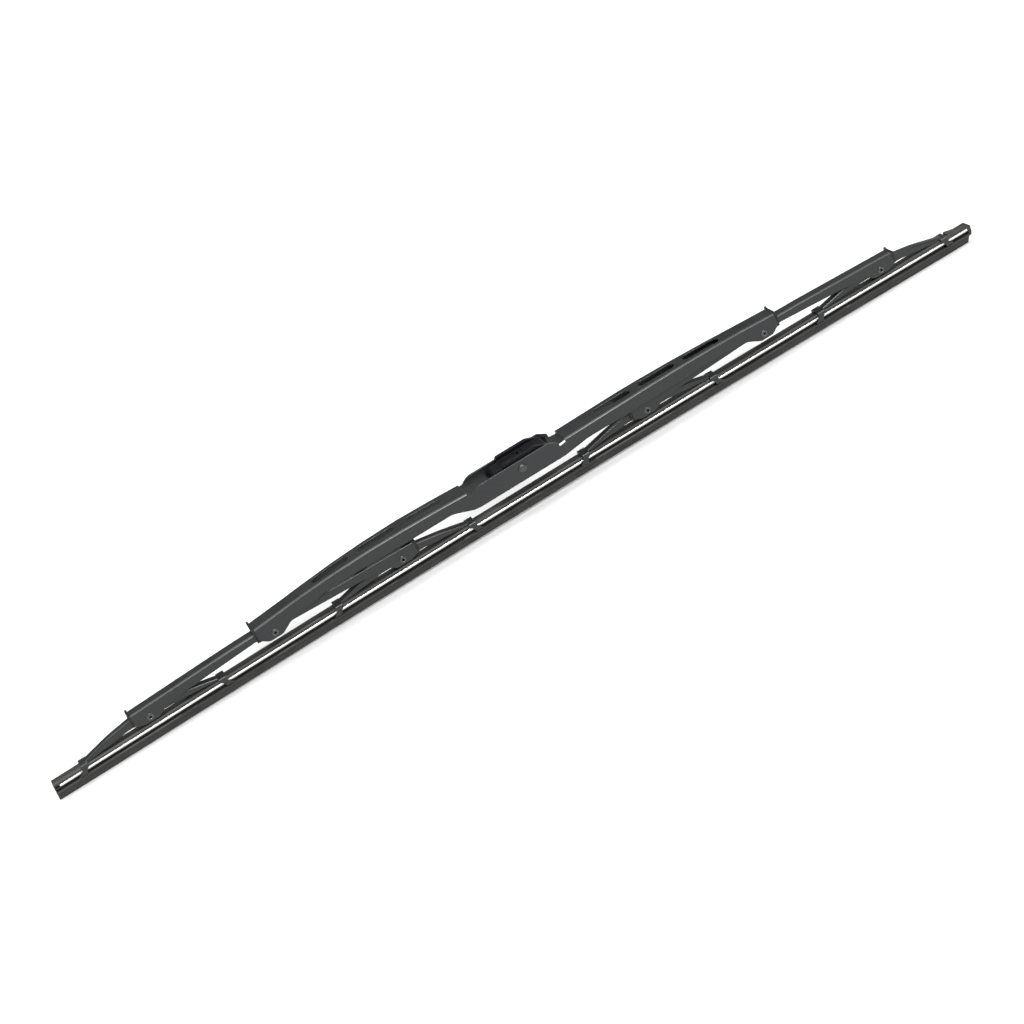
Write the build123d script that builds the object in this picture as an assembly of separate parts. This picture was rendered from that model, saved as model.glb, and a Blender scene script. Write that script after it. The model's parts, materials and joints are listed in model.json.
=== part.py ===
from build123d import *
import os
from math import asin, degrees, hypot, sqrt, tan, acos

# Conventional wiper blade: a pressed steel bridge carries two levers, each lever carries two yokes,
# and the yokes' eight claws hold a rubber strip that two spring strips stiffen.
# Millimetres. X runs along the blade, Y across it, Z away from the glass.
# The origin is the middle of the cross pin, where the wiper arm takes hold.

# Rubber strip
rubber_length = 602.6
rubber_shift = -1.1
bow = 2.4
lip_tip_width = 0.8
lip_root_width = 1.9
lip_height = 3.8
shoulder_width = 5.8
shoulder_height = 2.3
shoulder_chamfer = 0.9
groove_height = 1.5
neck_width = 1.4
bead_width = 5.7
bead_height = 0.65
core_width = 1.6
head_width = 6.2
head_height = 1.9
head_round = 0.6
edge_ease = 0.3
left_end_slant = 1.2
end_slant = 3.2
end_slant_height = 6.6
end_round = 2.2
end_skim = 0.3
stop_gap = 3.4
stop_length = 9.0
stop_height = 1.5
stop_round = 3.0
stop_sink = 0.6
plug_gap = 0.8

# Backing strips
strip_thickness = 1.2
strip_width = 2.3
strip_fit = 0.05
left_setback = 4.5
right_setback = 2.8
strip_round = 0.2

# Claws
claw_reach = 281.75
claw_clearance = 0.3
claw_length = 4.6
claw_neck = 1.0
claw_waist = 3.0
claw_waist_round = 1.5
claw_foot = 4.6
claw_foot_rise = 0.6
claw_foot_lean = 2.6
toe_reach = 1.1
toe_bend = 0.7

# Yokes
yoke_span = 85.5
yoke_width = 4.8
yoke_sheet = 0.8
yoke_bend = 1.0
yoke_pivot_height = 15.5
yoke_lobe_drop = 2.7
yoke_hip_run = 9.0
yoke_knee_run = 25.0
yoke_knee_height = 16.8
yoke_wall = 5.2
yoke_tip = 0.6
yoke_tip_sink = 0.2
yoke_knee_radius = 80.0
yoke_crest_radius = 20.0
yoke_foot_radius = 8.0
yoke_hip_radius = 12.0
yoke_lobe_radius = 3.0
yoke_lobe_slope = 3.2

# Secondary levers
inner_yoke_x = 80.0
lever_sheet = 0.8
lever_bend = 1.3
lever_end_reach = 9.2
lever_end_rise = 6.5
lever_crest_run = 6.0
lever_crest_radius = 900.0
lever_wall = 4.5
lever_lobe_drop = 2.7
lever_pivot_drop = 2.9
lever_lobe_run = 4.6
lever_slope_run = 11.0
lever_lobe_radius = 4.0
lever_heel_radius = 1.5
lever_foot_radius = 6.0
lever_foot_fall = 0.3

# Bridge
bridge_sheet = 1.0
bridge_bend = 1.5
bridge_pivot_height = 20.0
bridge_end_reach = 9.5
bridge_end_rise = 7.7
bridge_lobe_drop = 3.2
bridge_lobe_run = 5.0
bridge_lobe_back_run = 3.5
bridge_neck_run = 12.0
bridge_neck_wall = 5.8
bridge_foot_run = 40.0
bridge_heel_rise = 0.4
bridge_heel_radius = 2.0
bridge_lobe_radius = 5.0
bridge_neck_radius = 10.0
bridge_foot_radius = 60.0
bridge_root_run = 12.0
bridge_root_radius = 14.0
arm_width = 15.8
arm_taper_start = 12.6
arm_taper_end = 72.0
ease_steps = 4
left_crest_run = 61.0
left_crest_rise = 6.6
left_root_rise = 4.0
left_foot_drop = 2.4
right_crest_run = 76.0
right_crest_rise = 2.8
right_root_rise = 1.6
right_foot_drop = 5.4
left_crest_reach = 42.0
right_crest_reach = 44.0

# Centre box
pin_height = 27.5
pin_offset = 1.0
box_width = 17.6
box_left_reach = 33.8
box_right_reach = 28.4
plate_rise = 5.0
plate_drop = 7.0
plate_left_notch = 2.6
plate_left_notch_sink = 0.2
plate_shoulder_run = 4.5
plate_shoulder_radius = 8.0
plate_fall_run = 5.5
plate_fall = 3.2
plate_fall_radius = 4.0
flare_run = 4.0
flare_radius = 3.0
notch_width = 4.3
notch_sink = 0.8
notch_round = 0.8

# Slots in the arms' tops
slot_length = 24.0
slot_width = 6.2
slot_pitch = 29.6
left_slot_start = 46.0
right_slot_start = 52.0
slot_end_margin = 22.0

# Liners
liner_thickness = 0.5
bridge_liner_thickness = 0.7
liner_seat = 0.05
liner_gap = 0.15
liner_length = 16.0
liner_rim = 1.4
liner_rim_proud = 0.1
liner_rim_depth = 4.6
liner_ear = 0.9
liner_drop = 1.9
liner_foot_rise = 1.0
nest_clearance = 1.1

# Rivets and pin
rivet_shank = 2.8
rivet_bore = 1.8
rivet_flange = 4.0
rivet_flange_thickness = 0.45
pin_diameter = 4.75
tenon_diameter = 3.6
pin_head = 5.0
pin_head_height = 1.1
running_clearance = 0.05

# Hook adapter
adapter_side_clearance = 0.6
thrust_pad = 0.4
thrust_pad_diameter = 7.6
nose_reach = 17.3
hook_gap = 9.2
adapter_right_reach = 21.5
cheek_thickness = 2.2
cheek_left_reach = 9.2
cheek_rise = 7.2
cheek_drop = 4.6
cheek_fall = 4.2
cheek_fall_run = 10.5
cheek_fall_radius = 6.0
cheek_round = 2.0
adapter_wall = 1.7
clip_mouth = 3.9
clip_wall = 1.9
tongue_length = 13.0
tongue_width = 5.2
tongue_slit = 0.8
tongue_bump = 1.1
tongue_bump_length = 4.0
tongue_bump_top = 1.0
tongue_root_setback = 2.4
tongue_sink = 0.1
core_setback = 3.0
core_round = 1.0
nose_wall = 2.9

# Levels of the rubber's section, counted from the lip's tip
shoulder_top = lip_height + shoulder_height
bead_bottom = shoulder_top + groove_height
bead_top = bead_bottom + bead_height
head_bottom = bead_top + strip_thickness + 2 * strip_fit
head_top = head_bottom + head_height
strip_inner = core_width / 2 + strip_fit
strip_outer = strip_inner + strip_width

# Places along the blade
half_length = rubber_length / 2
left_end = rubber_shift - half_length
right_end = rubber_shift + half_length
outer_yoke_x = claw_reach - yoke_span / 2
bridge_pivot_x = (inner_yoke_x + outer_yoke_x) / 2
lever_inner_end = inner_yoke_x - lever_end_reach
lever_outer_end = outer_yoke_x + lever_end_reach
bridge_end = bridge_pivot_x + bridge_end_reach
box_left = box_left_reach - pin_offset
box_right = box_right_reach + pin_offset
bow_radius = (half_length**2 + bow**2) / (2 * bow)


def sag(x):
    """How far the bowed strip hangs below its middle at x."""
    return bow_radius - sqrt(bow_radius**2 - x**2)


def yoke_sag(x):
    """The mean sag at a yoke's two claws."""
    return (sag(x - yoke_span / 2) + sag(x + yoke_span / 2)) / 2


# Heights of the pivots above the middle of the lip's tip
inner_yoke_z = yoke_pivot_height - yoke_sag(inner_yoke_x)
outer_yoke_z = yoke_pivot_height - yoke_sag(outer_yoke_x)
bridge_pivot_z = bridge_pivot_height - (yoke_sag(inner_yoke_x) + yoke_sag(outer_yoke_x)) / 2

# Widths, from the yoke outwards
lever_nest = liner_gap + liner_thickness + liner_seat + lever_sheet
lever_width = yoke_width + 2 * lever_nest
bridge_nest = liner_gap + bridge_liner_thickness + liner_seat + bridge_sheet
bridge_end_width = lever_width + 2 * bridge_nest

# Levers' tops, from what they nest under
yoke_crest_rise = lever_end_rise - lever_sheet - liner_seat - liner_thickness - nest_clearance
lever_crest_rise = bridge_end_rise - bridge_sheet - liner_seat - bridge_liner_thickness - nest_clearance

# Claw section
claw_half = max(head_width / 2, strip_outer) + claw_clearance
claw_outer = claw_half + yoke_sheet
saddle_bottom = head_top + claw_clearance
saddle_top = saddle_bottom + yoke_sheet
toe_top = bead_bottom - claw_clearance
toe_bottom = toe_top - yoke_sheet

# Inside bends smaller than this are left sharp
least_bend = 0.3

# Reach of tool bodies past what they cut
past = 12.0
tall = 60.0
wide = 30.0


def outline(corners):
    """Closed face through corners (u, v) or (u, v, radius). A radius is limited by its two edges."""
    count = len(corners)
    points = [Vector(c[0], c[1]) for c in corners]
    starts = []
    ends = []
    middles = []
    for i, corner in enumerate(corners):
        back = points[i - 1] - points[i]
        ahead = points[(i + 1) % count] - points[i]
        radius = corner[2] if len(corner) > 2 else 0
        inside = back.normalized().dot(ahead.normalized())
        turn = acos(max(-1.0, min(1.0, -inside)))
        if radius == 0 or turn < 1e-4:
            starts.append(points[i])
            ends.append(points[i])
            middles.append(None)
            continue
        reach = min(radius * tan(turn / 2), 0.48 * back.length, 0.48 * ahead.length)
        actual = reach / tan(turn / 2)
        bisector = (back.normalized() + ahead.normalized()).normalized()
        centre_distance = hypot(reach, actual)
        starts.append(points[i] + back.normalized() * reach)
        ends.append(points[i] + ahead.normalized() * reach)
        middles.append(points[i] + bisector * (centre_distance - actual))
    edges = []
    for i in range(count):
        if middles[i] is not None:
            edges.append(ThreePointArc(starts[i], middles[i], ends[i]))
        following = starts[(i + 1) % count]
        if (following - ends[i]).length > 1e-6:
            edges.append(Line(ends[i], following))
    return make_face(edges)


def plate_xz(corners, y_low, y_high):
    """Side outline in X and Z, extruded across the blade."""
    face = Plane.XZ * outline(corners)
    return Pos(0, y_high, 0) * extrude(face, amount=y_high - y_low)


def plate_xy(corners, z_low, z_high):
    """Plan outline in X and Y, extruded upwards."""
    return Pos(0, 0, z_low) * extrude(outline(corners), amount=z_high - z_low)


def plate_yz(corners, x_low, x_high):
    """Cross-section in Y and Z, extruded along the blade."""
    face = Plane.YZ * outline(corners)
    return Pos(x_low, 0, 0) * extrude(face, amount=x_high - x_low)


def both_sides(half_widths):
    """Plan outline from half widths (x, y) or (x, y, radius) along one side."""
    mirrored = [(c[0], -c[1], *c[2:]) for c in reversed(half_widths)]
    return half_widths + mirrored


def cross_hole(x, z, diameter):
    """Tool for a hole across the blade."""
    return Pos(x, 0, z) * Rot(90, 0, 0) * Cylinder(diameter / 2, 2 * wide)


def bend_edges(body):
    """The long edges where a channel's top meets its walls."""
    tops = [f for f in body.faces() if f.normal_at().Z > 0.8]
    walls = [f for f in body.faces() if abs(f.normal_at().Y) > 0.8]
    top_edges = ShapeList([e for f in tops for e in f.edges()])
    wall_edges = ShapeList([e for f in walls for e in f.edges()])
    return ShapeList([e for e in top_edges if e in wall_edges])


def lowered(line, drop):
    """A top line or half-width line, moved inwards by drop and run past both ends."""
    moved = [(c[0], c[1] - drop, *c[2:]) for c in line]
    first_slope = (moved[1][1] - moved[0][1]) / (moved[1][0] - moved[0][0])
    last_slope = (moved[-1][1] - moved[-2][1]) / (moved[-1][0] - moved[-2][0])
    step = past if moved[-1][0] > moved[0][0] else -past
    first = (moved[0][0] - step, moved[0][1] - step * first_slope)
    last = (moved[-1][0] + step, moved[-1][1] + step * last_slope)
    return [first] + moved[1:-1] + [last]


def block(top, bottom, half_widths, bend):
    """Solid under a top line and over a bottom line, within half widths, with rounded bends."""
    side = plate_xz(top + bottom, -wide, wide)
    plan = plate_xy(both_sides(half_widths), -tall, tall)
    body = side & plan
    if bend < least_bend:
        return body
    return fillet(bend_edges(body), bend)


def channel(top, bottom, half_widths, sheet, bend):
    """Folded sheet channel, open below and at both ends."""
    outer = block(top, bottom, half_widths, bend)
    inner_top = lowered(top, sheet)
    floor = [(inner_top[-1][0], -tall / 2), (inner_top[0][0], -tall / 2)]
    inner = block(inner_top, floor, lowered(half_widths, sheet), bend - sheet)
    return outer - inner


def eased(line, x):
    """Height at x of a line of corners (x, height) or (x, height, reach), eased within each reach."""
    slopes = [(b[1] - a[1]) / (b[0] - a[0]) for a, b in zip(line, line[1:])]
    for i, corner in enumerate(line[1:-1]):
        reach = corner[2] if len(corner) > 2 else 0
        step = x - corner[0]
        if abs(step) < reach:
            bend = (slopes[i + 1] - slopes[i]) * (step + reach) ** 2 / (4 * reach)
            return corner[1] + slopes[i] * step + bend
    for i, corner in enumerate(line[1:]):
        if x <= corner[0] or i == len(slopes) - 1:
            return line[i][1] + slopes[i] * (x - line[i][0])


def stations(line):
    """Places along an eased line where its sections are set: its corners, and steps within each reach."""
    places = [line[0][0], line[-1][0]]
    for corner in line[1:-1]:
        reach = corner[2] if len(corner) > 2 else 0
        steps = ease_steps if reach > 0 else 1
        places += [corner[0] - reach + 2 * reach * i / steps for i in range(steps + 1)]
    return places


def tapered_block(top, half_widths, bend):
    """Solid under an eased top line, within eased half widths, with rounded bends."""
    sections = []
    for x in sorted(set(round(place, 3) for place in stations(top) + stations(half_widths))):
        y = eased(half_widths, x)
        corners = [(-y, 0), (y, 0), (y, eased(top, x), bend), (-y, eased(top, x), bend)]
        sections.append(Pos(x, 0, 0) * (Plane.YZ * outline(corners)))
    return loft(sections, ruled=True)


def left(body):
    """The same body on the left half of the blade."""
    return body.mirror(Plane.YZ)


# Rubber strip and its two backing strips, bent to one long arc
def bowed(section, low, high):
    """A section in Y and Z, carried along the strip's arc from x = low to x = high."""
    first = degrees(asin(low / bow_radius))
    last = degrees(asin(high / bow_radius))
    axis = Axis((0, 0, -bow_radius), (0, 1, 0))
    start = (Plane.YZ * section).rotate(axis, first)
    return revolve(start, axis, last - first)


def rubber_section():
    """Head, strip grooves, bead, claw grooves, shoulders and wiping lip."""
    side_low = lip_height + shoulder_chamfer
    half = [
        (lip_tip_width / 2, 0),
        (lip_root_width / 2, lip_height),
        (shoulder_width / 2 - edge_ease, side_low - edge_ease / 2),
        (shoulder_width / 2, side_low + edge_ease),
        (shoulder_width / 2, shoulder_top - shoulder_chamfer / 2),
        (shoulder_width / 2 - shoulder_chamfer, shoulder_top),
        (neck_width / 2, shoulder_top),
        (neck_width / 2, bead_bottom),
        (bead_width / 2, bead_bottom),
        (bead_width / 2, bead_top),
        (core_width / 2, bead_top),
        (core_width / 2, head_bottom),
        (head_width / 2, head_bottom),
        (head_width / 2, head_top - head_round),
        (head_width / 2 - edge_ease, head_top - edge_ease),
        (head_width / 2 - head_round, head_top),
    ]
    return outline(half + [(-c[0], c[1]) for c in reversed(half)])


def rubber_ends():
    """Tool for the strip's two ends: cut plain on the left, undercut and rounded on the right."""
    left_z = -sag(left_end)
    right_z = -sag(right_end)
    top_z = right_z + head_top + end_skim
    left_lean = left_end_slant / head_top
    right_lean = end_slant / end_slant_height
    corners = [
        (left_end - left_lean * past, left_z - past),
        (right_end - end_slant - right_lean * past, right_z - past),
        (right_end, right_z + end_slant_height, end_round / 2),
        (right_end, top_z, end_round),
        (right_end - 2 * end_round, top_z),
        (right_end - 2 * end_round, top_z + past),
        (left_end + left_lean * (head_top + past), left_z + head_top + past),
    ]
    return plate_xz(corners, -wide, wide)


def wiper_rubber():
    """Moulded strip whose right end is closed and has a stop for the last claw."""
    ends = rubber_ends()
    strip = bowed(rubber_section(), left_end - past / 4, right_end + past / 4) & ends
    right_z = -sag(right_end)
    plug_start = right_end - right_setback + plug_gap
    plug = [
        (plug_start, right_z + shoulder_top - stop_sink),
        (right_end + past / 4, right_z + shoulder_top - stop_sink),
        (right_end + past / 4, right_z + head_top - stop_sink),
        (plug_start, right_z + head_top - stop_sink),
    ]
    plug_half = (bead_width - edge_ease) / 2
    strip += plate_xz(plug, -plug_half, plug_half) & ends
    stop_start = claw_reach + stop_gap
    stop_z = head_top - sag(stop_start + stop_length / 2)
    stop = [
        (stop_start, stop_z - stop_sink),
        (stop_start, stop_z + stop_height, stop_round),
        (stop_start + stop_length, stop_z - stop_sink),
    ]
    stop_half = head_width / 2 - head_round
    return strip + plate_xz(stop, -stop_half, stop_half)


def backing_strip(side):
    """Spring strip in one side groove of the rubber."""
    low = bead_top + strip_fit
    corners = [
        (side * strip_inner, low),
        (side * strip_outer, low, strip_round),
        (side * strip_outer, low + strip_thickness, strip_round),
        (side * strip_inner, low + strip_thickness),
    ]
    return bowed(outline(corners), left_end + left_setback, right_end - right_setback)


# Yokes with their claws
def claw(x, z, lean):
    """Claw at x, over a strip whose lip is at height z, with feet that lean along X."""
    half = [
        (claw_half - toe_reach, z + toe_bottom),
        (claw_outer, z + toe_bottom, toe_bend),
        (claw_outer, z + saddle_top, yoke_bend),
    ]
    inner = [
        (claw_half, z + saddle_bottom),
        (claw_half, z + toe_top),
        (claw_half - toe_reach, z + toe_top),
    ]
    outside = half + [(-c[0], c[1], *c[2:]) for c in reversed(half)]
    inside = [(-c[0], c[1]) for c in reversed(inner)] + inner
    section = plate_yz(outside + inside, x - past, x + past)
    high_z = z + saddle_top + claw_neck
    neck_z = z + saddle_bottom - claw_neck
    waist_z = z + (saddle_bottom + toe_bottom) / 2
    foot_z = z + toe_bottom + claw_foot_rise
    low_z = z + toe_bottom - claw_neck
    ahead = lean * claw_length / 2
    waist_x = x + lean * claw_foot_lean / 3
    waist_run = lean * claw_waist / 2
    foot_x = x + lean * claw_foot_lean
    foot_run = lean * claw_foot / 2
    side = [
        (x - ahead, high_z),
        (x + ahead, high_z),
        (x + ahead, neck_z),
        (waist_x + waist_run, waist_z, claw_waist_round),
        (foot_x + foot_run, foot_z),
        (foot_x + foot_run, low_z),
        (foot_x - foot_run, low_z),
        (foot_x - foot_run, foot_z),
        (waist_x - waist_run, waist_z, claw_waist_round),
        (x - ahead, neck_z),
    ]
    return section & plate_xz(side, -wide, wide)


def yoke(pivot_x, pivot_z):
    """Pressed channel, high over its rivet and low at its two claws."""
    claw_run = yoke_span / 2
    near_z = -sag(pivot_x - claw_run)
    far_z = -sag(pivot_x + claw_run)
    base_z = (near_z + far_z) / 2
    crest_z = pivot_z + yoke_crest_rise
    knee_z = base_z + yoke_knee_height
    lobe_z = pivot_z - yoke_lobe_drop
    hip_z = crest_z - yoke_wall
    tip_run = claw_run + yoke_tip
    foot_run = claw_run - claw_length
    hip_run = yoke_hip_run + lever_lobe_run
    lobe_run = lever_lobe_run - yoke_lobe_slope / 3
    top = [
        (pivot_x - tip_run, near_z + saddle_top - yoke_tip_sink),
        (pivot_x - yoke_knee_run, knee_z, yoke_knee_radius),
        (pivot_x - yoke_hip_run, crest_z, yoke_crest_radius),
        (pivot_x + yoke_hip_run, crest_z, yoke_crest_radius),
        (pivot_x + yoke_knee_run, knee_z, yoke_knee_radius),
        (pivot_x + tip_run, far_z + saddle_top - yoke_tip_sink),
    ]
    bottom = [
        (pivot_x + tip_run, far_z + saddle_bottom),
        (pivot_x + foot_run, far_z + saddle_bottom, yoke_foot_radius),
        (pivot_x + hip_run, hip_z, yoke_hip_radius),
        (pivot_x + lobe_run + yoke_lobe_slope, hip_z),
        (pivot_x + lobe_run, lobe_z, yoke_lobe_radius),
        (pivot_x - lobe_run, lobe_z, yoke_lobe_radius),
        (pivot_x - lobe_run - yoke_lobe_slope, hip_z),
        (pivot_x - hip_run, hip_z, yoke_hip_radius),
        (pivot_x - foot_run, near_z + saddle_bottom, yoke_foot_radius),
        (pivot_x - tip_run, near_z + saddle_bottom),
    ]
    widths = [(pivot_x - tip_run, yoke_width / 2), (pivot_x + tip_run, yoke_width / 2)]
    body = channel(top, bottom, widths, yoke_sheet, yoke_bend)
    body += claw(pivot_x - claw_run, near_z, -1)
    body += claw(pivot_x + claw_run, far_z, 1)
    return body - cross_hole(pivot_x, pivot_z, rivet_shank + 2 * running_clearance)


# Secondary levers
lever_top = [
    (lever_inner_end, inner_yoke_z + lever_end_rise),
    (bridge_pivot_x + lever_crest_run, bridge_pivot_z + lever_crest_rise, lever_crest_radius),
    (lever_outer_end, outer_yoke_z + lever_end_rise),
]
lever_line = [corner[:2] for corner in lever_top]


def lever_lobe(pivot_x, pivot_z, outward, end_x):
    """Corners of the lobe round a yoke's rivet, from the lever's end inwards."""
    low = pivot_z - lever_lobe_drop
    slope_x = pivot_x - outward * lever_slope_run
    return [
        (end_x, pivot_z - lever_lobe_drop / 3, lever_heel_radius),
        (pivot_x + outward * lever_lobe_run, low, lever_lobe_radius),
        (pivot_x - outward * lever_lobe_run, low, lever_lobe_radius),
        (slope_x, pivot_z + lever_lobe_drop / 2, lever_lobe_radius),
    ]


def secondary_lever():
    """Pressed channel that rocks on the bridge and carries a yoke at each end."""
    crest = lever_top[1]
    foot_z = crest[1] - lever_wall
    pivot_low = bridge_pivot_z - lever_pivot_drop
    outer_lobe = lever_lobe(outer_yoke_x, outer_yoke_z, 1, lever_outer_end)
    inner_lobe = lever_lobe(inner_yoke_x, inner_yoke_z, -1, lever_inner_end)
    middle = [
        (bridge_pivot_x + lever_slope_run, foot_z - lever_foot_fall, lever_foot_radius),
        (bridge_pivot_x + lever_lobe_run, pivot_low, lever_lobe_radius),
        (bridge_pivot_x - lever_lobe_run, pivot_low, lever_lobe_radius),
        (bridge_pivot_x - lever_slope_run, foot_z - lever_foot_fall, lever_foot_radius),
    ]
    widths = [(lever_inner_end, lever_width / 2), (lever_outer_end, lever_width / 2)]
    bottom = outer_lobe + middle + list(reversed(inner_lobe))
    body = channel(lever_top, bottom, widths, lever_sheet, lever_bend)
    shank = rivet_shank + 2 * running_clearance
    body -= cross_hole(bridge_pivot_x, bridge_pivot_z, shank)
    body -= cross_hole(inner_yoke_x, inner_yoke_z, shank)
    return body - cross_hole(outer_yoke_x, outer_yoke_z, shank)


# Bridge
bridge_end_top = bridge_pivot_z + bridge_end_rise


def arm_top(root_x, root_rise, crest_run, crest_rise, reach):
    """Top line of one bridge arm, from the centre box to the end."""
    return [
        (root_x, pin_height + root_rise),
        (root_x + crest_run, pin_height + crest_rise, reach),
        (bridge_end, bridge_end_top),
    ]


left_arm_top = arm_top(box_left, left_root_rise, left_crest_run, left_crest_rise, left_crest_reach)
right_arm_top = arm_top(
    box_right, right_root_rise, right_crest_run, right_crest_rise, right_crest_reach
)


def arm(top, foot_drop, slot_start):
    """Bridge arm: a tapered channel with slots in its top and a lobe at its end."""
    root_x = top[0][0]
    foot_z = pin_height - foot_drop
    plate_z = pin_height - plate_drop
    lobe_z = bridge_pivot_z - bridge_lobe_drop
    neck_z = bridge_end_top - bridge_neck_wall
    bottom = [
        (bridge_end, bridge_pivot_z + bridge_heel_rise, bridge_heel_radius),
        (bridge_pivot_x + bridge_lobe_run, lobe_z, bridge_lobe_radius),
        (bridge_pivot_x - bridge_lobe_back_run, lobe_z, bridge_lobe_radius),
        (bridge_pivot_x - bridge_neck_run, neck_z, bridge_neck_radius),
        (bridge_pivot_x - bridge_foot_run, foot_z, bridge_foot_radius),
        (root_x + bridge_root_run, foot_z, bridge_root_radius),
        (root_x, plate_z),
    ]
    widths = [
        (root_x, arm_width / 2),
        (arm_taper_end, arm_width / 2),
        (bridge_pivot_x - arm_taper_start, bridge_end_width / 2),
        (bridge_end, bridge_end_width / 2),
    ]
    inner_top = lowered(top, bridge_sheet)
    inner_widths = lowered(widths, bridge_sheet)
    body = tapered_block(top, widths, bridge_bend)
    body -= tapered_block(inner_top, inner_widths, bridge_bend - bridge_sheet)
    body &= plate_xz([(root_x, tall), (bridge_end, tall)] + bottom, -wide, wide)
    slot_count = int((bridge_pivot_x - slot_end_margin - slot_start - slot_length) // slot_pitch) + 1
    for i in range(slot_count):
        centre = slot_start + slot_length / 2 + i * slot_pitch
        body -= Pos(centre, 0, 0) * extrude(SlotOverall(slot_length, slot_width), amount=tall)
    return body


def plate_plan(inset):
    """Half widths of the centre box, moved in by inset and run on straight past its ends."""
    return [
        (-box_left - flare_run, arm_width / 2 - inset),
        (-box_left, arm_width / 2 - inset),
        (-box_left + flare_run, box_width / 2 - inset, flare_radius),
        (box_right - flare_run, box_width / 2 - inset, flare_radius),
        (box_right, arm_width / 2 - inset),
        (box_right + flare_run, arm_width / 2 - inset),
    ]


def centre_plates():
    """Flared side plates of the centre box, with relief notches where the arms' tops end."""
    left_z = pin_height + left_root_rise - bridge_bend - plate_left_notch_sink
    right_z = pin_height + right_root_rise - bridge_bend - notch_sink
    top_z = pin_height + plate_rise
    notch_x = box_right - notch_width
    left_notch_x = plate_left_notch - box_left
    corners = [
        (-box_left, pin_height - plate_drop),
        (-box_left, left_z),
        (left_notch_x, left_z, notch_round),
        (left_notch_x + plate_shoulder_run, top_z, plate_shoulder_radius),
        (notch_x - plate_fall_run, top_z, plate_fall_radius),
        (notch_x, top_z - plate_fall, notch_round),
        (notch_x, right_z, notch_round),
        (box_right, right_z),
        (box_right, pin_height - plate_drop),
    ]
    ring = plate_xy(both_sides(plate_plan(0)), -tall, tall)
    ring -= plate_xy(both_sides(plate_plan(bridge_sheet)), -tall, tall)
    return plate_xz(corners, -wide, wide) & ring


def primary_bridge():
    """One pressed sheet: two arms and the centre box between them."""
    body = left(arm(left_arm_top, left_foot_drop, left_slot_start))
    body += arm(right_arm_top, right_foot_drop, right_slot_start)
    body += centre_plates()
    shank = rivet_shank + 2 * running_clearance
    body -= cross_hole(pin_offset, pin_height, tenon_diameter + 2 * running_clearance)
    body -= cross_hole(-bridge_pivot_x, bridge_pivot_z, shank)
    return body - cross_hole(bridge_pivot_x, bridge_pivot_z, shank)


# Liners between nested channels
def liner(host_top, host_width, host_sheet, thickness, bend, pivot_x, pivot_z, end_x):
    """Plastic channel inside a lever's end, with a rim and an ear outside it."""
    outward = 1 if end_x > pivot_x else -1
    inner_x = end_x - outward * liner_length
    rim_x = end_x + outward * liner_rim
    rim_start = end_x + outward * liner_seat
    drop = host_sheet + liner_seat
    half = host_width / 2 - drop
    xs = sorted([inner_x, rim_x])
    top = [(x, eased(host_top, x) - drop) for x in xs]
    low = pivot_z - liner_drop
    bottom = [
        (xs[1], low + liner_foot_rise),
        (pivot_x + lever_lobe_run / 2, low),
        (pivot_x - lever_lobe_run / 2, low),
        (xs[0], low + liner_foot_rise),
    ]
    body = channel(top, bottom, [(x, half) for x in xs], thickness, bend)
    rim_xs = sorted([rim_start, rim_x])
    rim_top = [(x, eased(host_top, x) + liner_rim_proud) for x in rim_xs]
    rim_low = rim_top[0][1] - liner_rim_depth
    rim_bottom = [(rim_xs[1], rim_low), (rim_xs[0], rim_low)]
    rim_half = host_width / 2 + liner_rim_proud
    rim = channel(
        rim_top, rim_bottom, [(x, rim_half) for x in rim_xs], drop + thickness + liner_rim_proud, 0
    )
    ear_base = max(rim_top[0][1], rim_top[1][1]) - liner_rim_proud
    ear_y = rim_half - liner_ear
    ear = [
        (ear_y, ear_base - liner_ear / 2),
        (rim_half, ear_base - liner_ear / 2),
        (rim_half, ear_base + liner_ear),
        (rim_half - liner_ear / 3, ear_base + liner_ear),
        (ear_y, ear_base + liner_ear / 4),
    ]
    body = body + rim + plate_yz(ear, rim_xs[0], rim_xs[1])
    return body - cross_hole(pivot_x, pivot_z, rivet_shank + 2 * running_clearance)


def lever_liner(pivot_x, pivot_z, end_x):
    """Liner in one end of a secondary lever."""
    bend = lever_bend - lever_sheet
    return liner(lever_line, lever_width, lever_sheet, liner_thickness, bend, pivot_x, pivot_z, end_x)


def bridge_liner(top):
    """Liner in one end of the bridge."""
    bend = bridge_bend - bridge_sheet
    return liner(
        top, bridge_end_width, bridge_sheet, bridge_liner_thickness, bend,
        bridge_pivot_x, bridge_pivot_z, bridge_end,
    )


# Rivets and pin, turned about Y
def turned(corners, x, z):
    """Body of revolution across the blade from corners (radius, y)."""
    return Pos(x, 0, z) * revolve(outline(corners), Axis.Y)


def eyelet(grip, x, z):
    """Hollow rivet whose two rolled flanges hold grip between them."""
    bore = rivet_bore / 2
    shank = rivet_shank / 2
    flange = rivet_flange / 2
    seat = grip / 2
    face = seat + rivet_flange_thickness
    half = [
        (bore, face),
        ((bore + flange) / 2, face),
        (flange, seat + rivet_flange_thickness / 2),
        (flange, seat),
        (shank, seat),
    ]
    mirrored = [(c[0], -c[1], *c[2:]) for c in reversed(half)]
    return turned(half + mirrored, x, z)


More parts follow.
